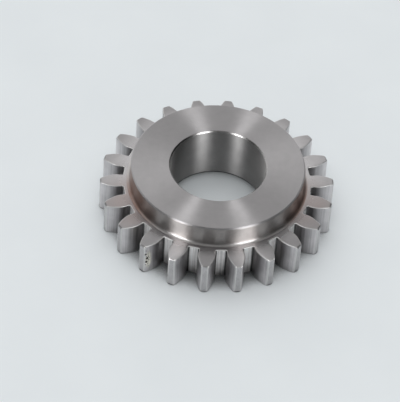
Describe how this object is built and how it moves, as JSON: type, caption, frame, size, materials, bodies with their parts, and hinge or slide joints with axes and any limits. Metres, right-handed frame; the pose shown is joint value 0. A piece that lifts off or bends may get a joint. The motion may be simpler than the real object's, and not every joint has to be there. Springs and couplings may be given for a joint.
{
  "type": "idler gear",
  "caption": "Spur idler gear machined from one piece of steel, with a raised hub on one face and a plain chamfered bore.",
  "frame": {"origin": "centre of the bore on the plain face, which the gear rests on", "axes": "+Z along the bore towards the hub; one tooth points along +X"},
  "size_m": [0.0508, 0.0504, 0.0127],
  "materials": {
    "steel": "turned and ground, bare, lightly oiled"
  },
  "bodies": {
    "root": {"idler_gear": "steel"}
  },
  "joints": []
}
